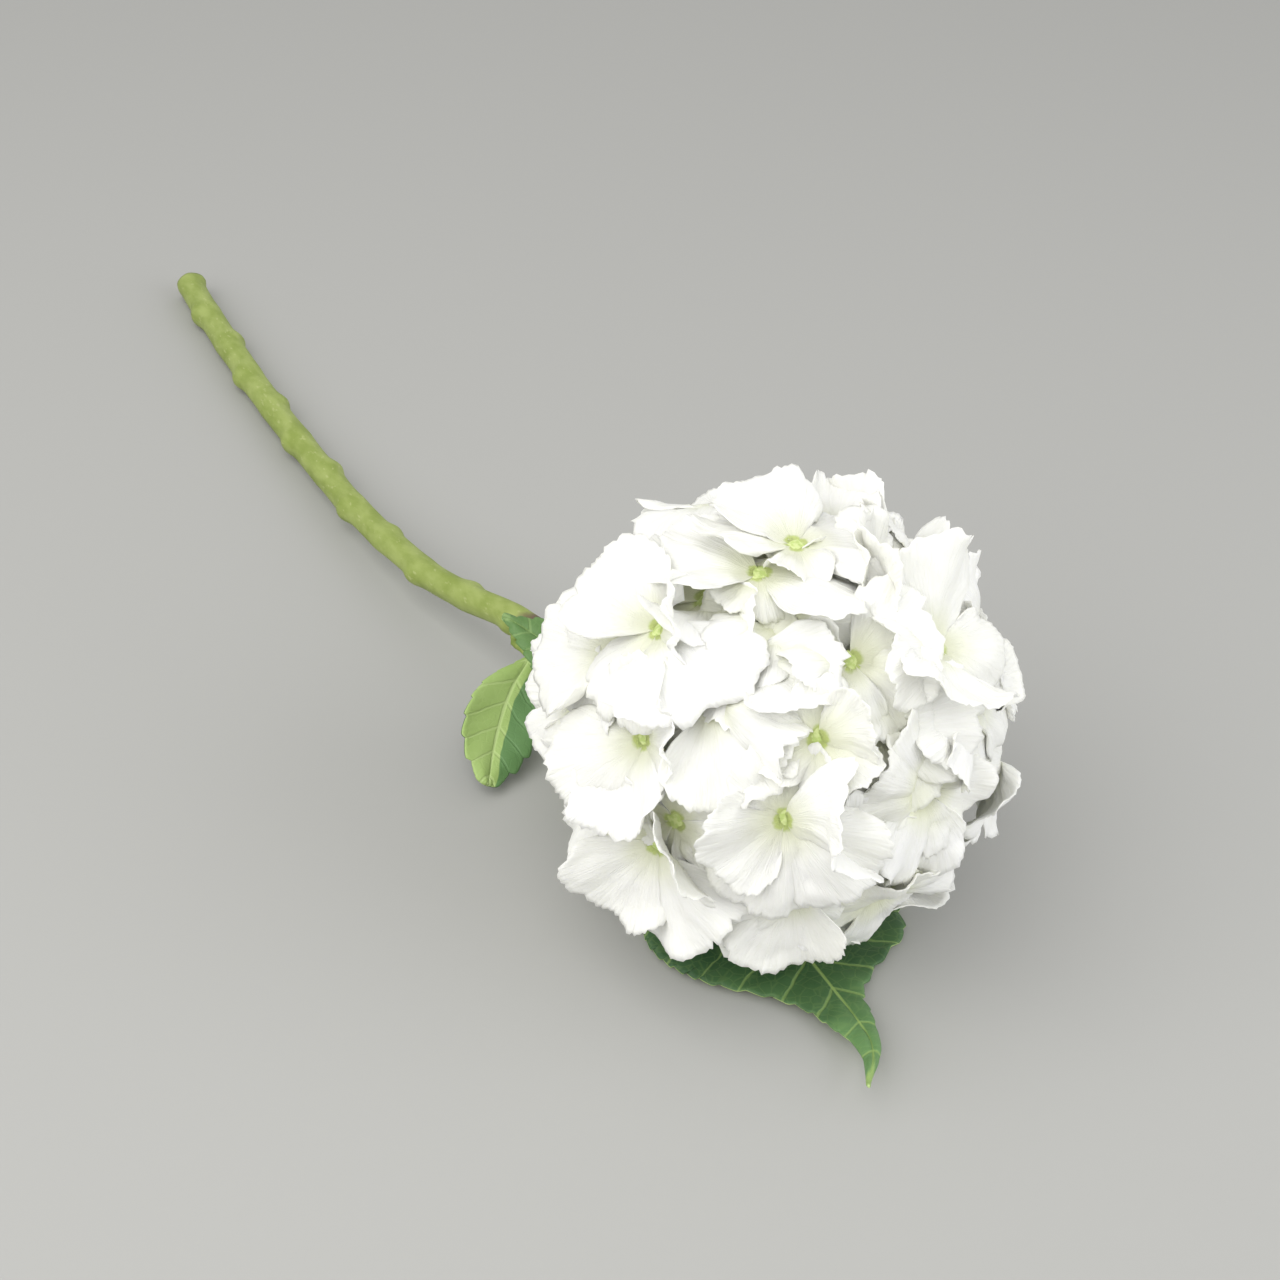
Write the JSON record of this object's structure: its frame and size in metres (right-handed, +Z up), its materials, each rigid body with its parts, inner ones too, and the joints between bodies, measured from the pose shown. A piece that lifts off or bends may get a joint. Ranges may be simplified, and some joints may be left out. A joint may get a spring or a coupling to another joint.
{
  "type": "hydrangea flower head",
  "caption": "Rounded hydrangea head of broad pale four-petalled florets, with three toothed leaves on a long curved cut stem, lying on its side.",
  "frame": {"origin": "on the surface that the bloom lies on, at the flat underside of the front leaf, under the head's centre", "axes": "+X from the stem's cut end towards the head, +Z up from the surface"},
  "size_m": [0.5889, 0.1672, 0.1678],
  "materials": {
    "stem": "satin plant stem",
    "petals": "soft matt petal",
    "leaves": "satin leaf"
  },
  "bodies": {
    "root": {"stem": "stem", "flower_head": "petals", "leaf_front": "leaves", "leaf_low": "leaves", "leaf_back": "leaves"}
  },
  "joints": []
}
